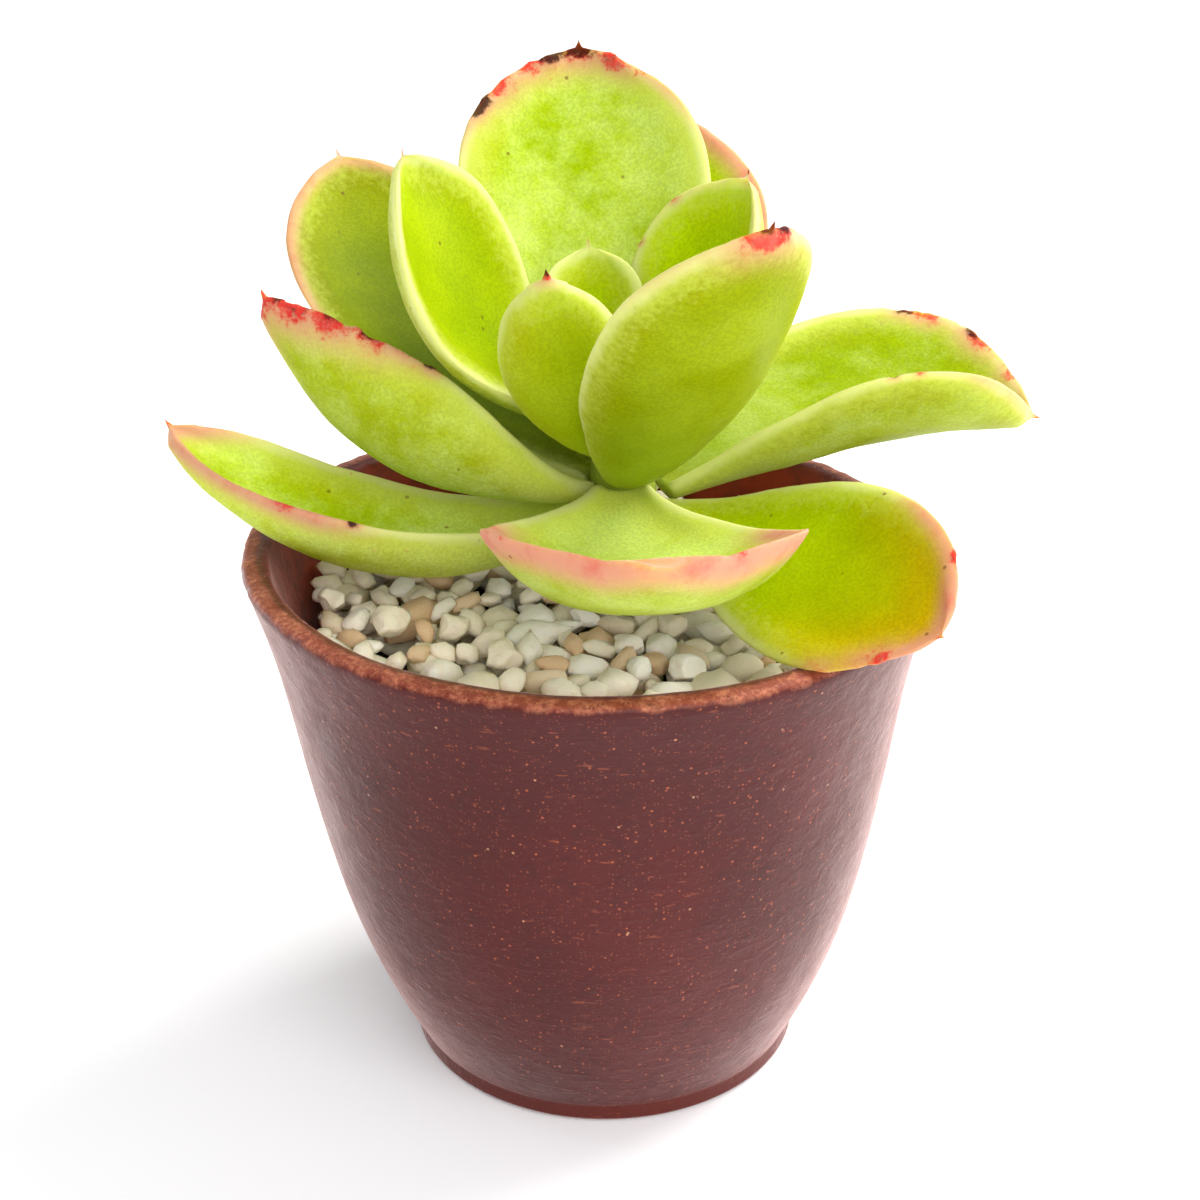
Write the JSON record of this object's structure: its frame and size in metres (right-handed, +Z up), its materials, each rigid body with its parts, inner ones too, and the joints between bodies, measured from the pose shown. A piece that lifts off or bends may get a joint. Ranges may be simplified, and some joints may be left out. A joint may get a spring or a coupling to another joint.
{
  "type": "potted succulent",
  "caption": "Small rosette succulent with broad pointed fleshy leaves, planted in a tapered round fibre pot topped with pale gravel, standing on its flat underside.",
  "frame": {"origin": "middle of the pot's flat underside, which rests on the surface", "axes": "+Z up out of the pot, +X to the viewer's right and +Y away from the viewer when the pot is seen from its front"},
  "size_m": [0.1015, 0.0966, 0.1132],
  "materials": {
    "pot": "satin moulded plant-fibre composite, reddish brown, finely speckled, with a paler rough rim",
    "soil": "dark damp potting soil",
    "gravel": "cream and off-white rounded stone, matt, a little dusty",
    "stem": "short greenish-brown succulent stem with leaf scars",
    "leaf": "fleshy yellow-green leaf with a waxy bloom, pale margins, pink and red edges and tips"
  },
  "bodies": {
    "root": {"gravel_bed": "gravel", "leaf_01": "leaf", "leaf_02": "leaf", "leaf_03": "leaf", "leaf_04": "leaf", "leaf_05": "leaf", "leaf_06": "leaf", "leaf_07": "leaf", "leaf_08": "leaf", "leaf_09": "leaf", "leaf_10": "leaf", "leaf_11": "leaf", "leaf_12": "leaf", "leaf_13": "leaf", "leaf_14": "leaf", "leaf_15": "leaf", "leaf_16": "leaf", "leaf_17": "leaf", "pebble_01": "gravel", "pebble_02": "gravel", "pebble_03": "gravel", "pebble_04": "gravel", "pebble_05": "gravel", "pebble_06": "gravel", "pebble_07": "gravel", "pebble_08": "gravel", "pebble_09": "gravel", "pebble_10": "gravel", "pebble_11": "gravel", "pebble_12": "gravel", "pebble_13": "gravel", "pebble_14": "gravel", "pebble_15": "gravel", "pebble_16": "gravel", "pebble_17": "gravel", "pebble_18": "gravel", "pebble_19": "gravel", "pebble_20": "gravel", "pebble_21": "gravel", "pebble_22": "gravel", "pebble_23": "gravel", "pebble_24": "gravel", "pebble_25": "gravel", "pebble_26": "gravel", "pot": "pot", "soil": "soil", "stem": "stem"}
  },
  "joints": []
}
